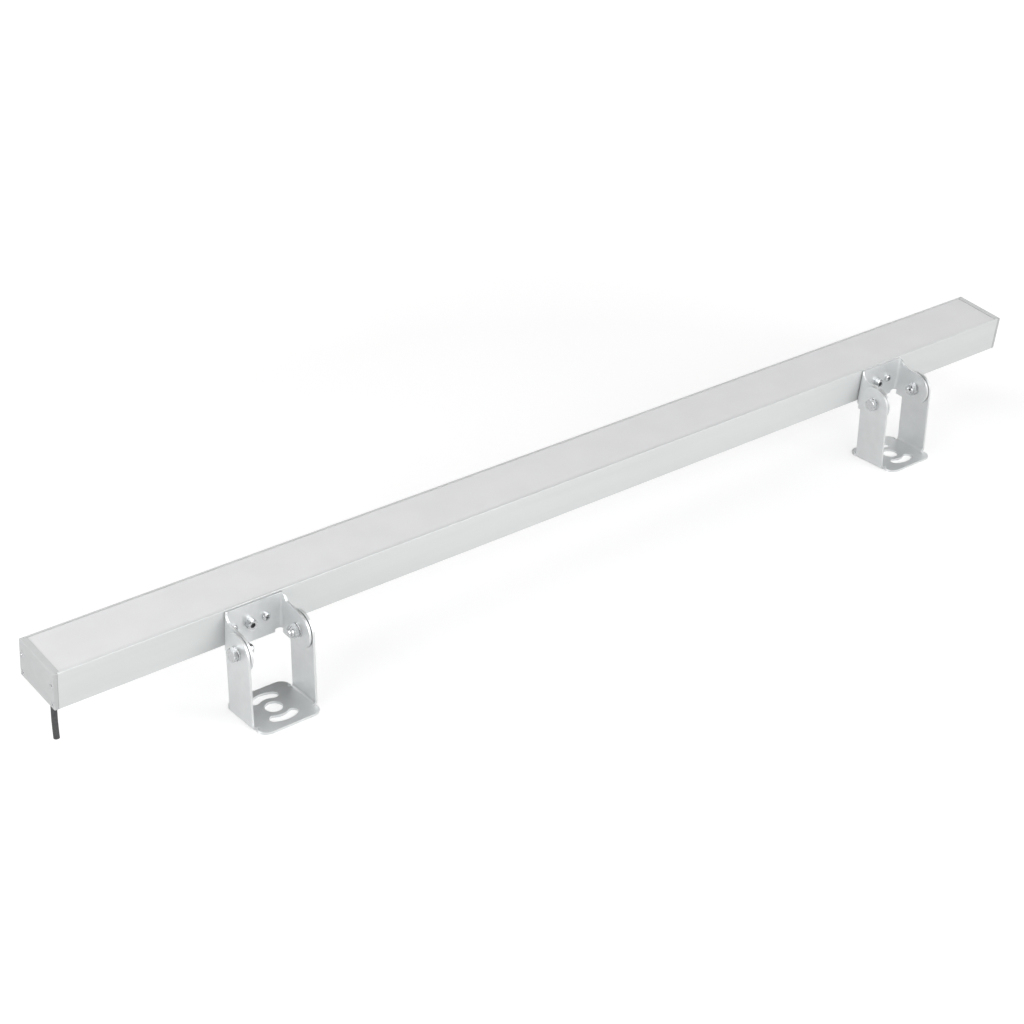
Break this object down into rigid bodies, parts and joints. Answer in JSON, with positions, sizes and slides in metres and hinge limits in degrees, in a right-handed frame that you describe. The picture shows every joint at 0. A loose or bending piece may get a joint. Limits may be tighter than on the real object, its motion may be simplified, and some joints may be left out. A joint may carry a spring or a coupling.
{
  "type": "linear ceiling light",
  "caption": "Slim linear light: a frosted diffuser in an aluminium profile, carried by tilting sheet metal brackets, with a short supply lead.",
  "frame": {"origin": "on the mounting surface, midway between the holes of the base plates", "axes": "+X along the light, from the cable end to the plain end; +Y from the bracket side to the far side; +Z away from the mounting surface"},
  "size_m": [1, 0.1011, 0.0906],
  "materials": {
    "housing": "satin anodised",
    "diffuser": "frosted, translucent",
    "end_cap": "fine grain, light grey",
    "gasket": "matt, grey",
    "bracket": "zinc plated sheet steel",
    "fastener": "zinc plated",
    "led_board": "white lacquer",
    "led": "yellow silicone on white",
    "connector": "white",
    "insulation": "dark fibre film",
    "driver_board": "green lacquer",
    "driver_parts": "black",
    "wire": "insulated wire",
    "cable": "black, matt"
  },
  "bodies": {
    "left_base": {"base_bracket_left": "bracket", "pivot_bolts_left": "fastener", "pivot_washers_left": "fastener", "pivot_nuts_left": "fastener"},
    "lamp": {"board_link": "connector", "board_screws": "fastener", "diffuser": "diffuser", "driver_board": "driver_board", "driver_components": "driver_parts", "driver_leads": "wire", "driver_pad": "insulation", "ear_bracket_left": "bracket", "ear_bracket_right": "bracket", "end_cap_left": "end_cap", "end_cap_right": "end_cap", "end_cap_screws_left": "fastener", "end_cap_screws_right": "fastener", "end_gasket_left": "gasket", "end_gasket_right": "gasket", "housing": "housing", "led_board_left": "led_board", "led_board_right": "led_board", "leds_left": "led", "leds_right": "led", "nut_plate_left": "bracket", "nut_plate_right": "bracket", "strain_relief": "cable", "supply_cable": "cable", "supply_cable_inner": "cable", "supply_cores": "wire", "web_bolt_left": "fastener", "web_bolt_right": "fastener", "web_screws_left": "fastener", "web_screws_right": "fastener"},
    "right_base": {"base_bracket_right": "bracket", "pivot_bolts_right": "fastener", "pivot_washers_right": "fastener", "pivot_nuts_right": "fastener"}
  },
  "joints": [
    {"name": "tilt", "type": "hinge", "parent": "left_base", "child": "lamp", "pos_m": [-0.336, 0, 0.0605], "axis": [1, 0, 0], "range_deg": [-34, 188]},
    {"name": "right_pivot", "type": "hinge", "parent": "lamp", "child": "right_base", "pos_m": [0.336, 0, 0.0605], "axis": [1, 0, 0], "range_deg": [-188, 34]}
  ],
  "couplings": [
    {"joint": "right_pivot", "follows": "tilt", "ratio": -1}
  ]
}
